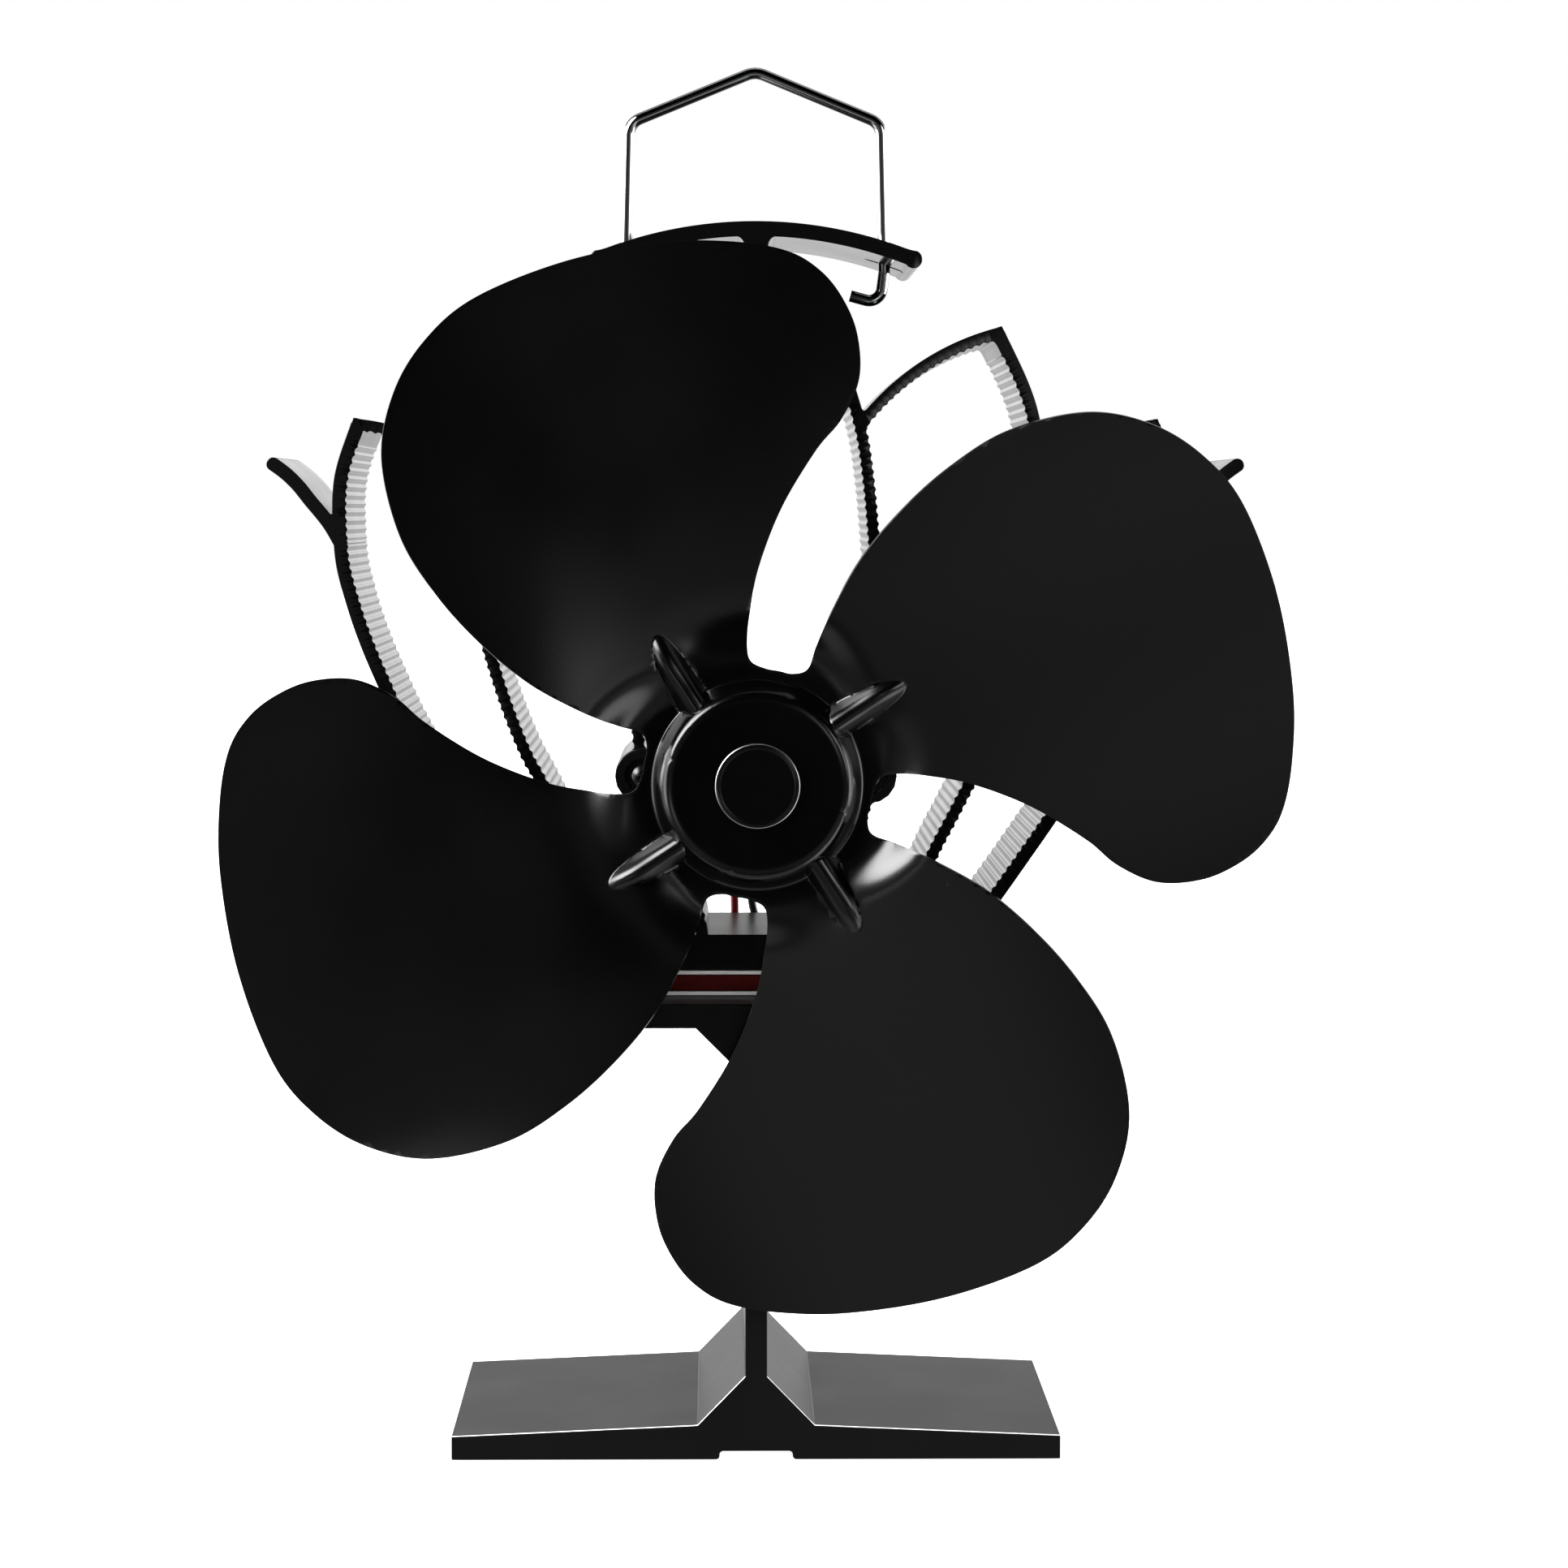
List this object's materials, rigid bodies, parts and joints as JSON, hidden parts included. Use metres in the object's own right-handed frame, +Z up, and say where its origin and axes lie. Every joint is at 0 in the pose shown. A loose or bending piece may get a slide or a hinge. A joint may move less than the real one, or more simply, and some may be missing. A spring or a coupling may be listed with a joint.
{
  "type": "stove fan",
  "caption": "Heat-powered stove fan: black finned heat sink on a footed base, wire carrying handle and a pressed propeller turned by a small motor.",
  "frame": {"origin": "middle of the whole outline seen from above, on the floor that the base stands on", "axes": "+Z up, -Y the way the fan faces and blows, +X to the right seen from the front"},
  "size_m": [0.1766, 0.0822, 0.2338],
  "materials": {
    "black_painted_aluminium": "black satin heat-resistant paint on aluminium",
    "black_zinc_steel": "black plated steel",
    "zinc_steel": "bright zinc plated steel",
    "bimetal": "rolled bimetal strip",
    "chrome_wire": "polished chrome wire",
    "white_ceramic": "matt alumina",
    "red_sealant": "red silicone sealant",
    "thermocouples": "grey bismuth telluride blocks",
    "bronze": "sintered bronze",
    "copper": "enamelled copper",
    "brass_tab": "stamped brass",
    "ferrite": "dark sintered ferrite",
    "lamination": "stacked steel laminations",
    "white_nylon": "moulded nylon",
    "carbon": "pressed carbon",
    "red_sleeve": "red silicone sleeve",
    "black_sleeve": "black silicone sleeve"
  },
  "bodies": {
    "frame": {"base": "black_painted_aluminium", "heat_sink": "black_painted_aluminium", "motor_bracket": "black_zinc_steel", "bracket_screw_left": "black_zinc_steel", "bracket_screw_right": "black_zinc_steel", "clamp_screw_left": "zinc_steel", "clamp_screw_right": "zinc_steel", "clamp_washer_left": "zinc_steel", "clamp_washer_right": "zinc_steel", "motor_screw_upper": "zinc_steel", "motor_screw_lower": "zinc_steel", "motor_can": "zinc_steel", "bimetal_rivet": "zinc_steel", "bimetal_strip": "bimetal", "module_hot_plate": "white_ceramic", "module_cold_plate": "white_ceramic", "module_seal": "red_sealant", "module_core": "thermocouples", "front_bearing": "bronze", "rear_bearing": "bronze", "motor_terminal_positive": "brass_tab", "motor_terminal_negative": "brass_tab", "magnet_left": "ferrite", "magnet_right": "ferrite", "motor_end_cap": "white_nylon", "brush_positive": "carbon", "brush_negative": "carbon", "lead_red": "red_sleeve", "lead_black": "black_sleeve"},
    "rotor": {"fan_blades": "black_painted_aluminium", "hub": "black_zinc_steel", "grub_screw": "black_zinc_steel", "motor_shaft": "zinc_steel", "armature_core": "lamination", "winding_a": "copper", "winding_b": "copper", "winding_c": "copper", "commutator": "copper"},
    "handle": {"handle": "chrome_wire"}
  },
  "joints": [
    {"name": "rotor_spin", "type": "hinge", "parent": "frame", "child": "rotor", "pos_m": [0, -0.01036, 0.1136], "axis": [0, 1, 0], "continuous": true},
    {"name": "handle_slide", "type": "slide", "parent": "frame", "child": "handle", "axis": [0, 0, 1], "range_m": [-0.0135, 0.0055]}
  ]
}
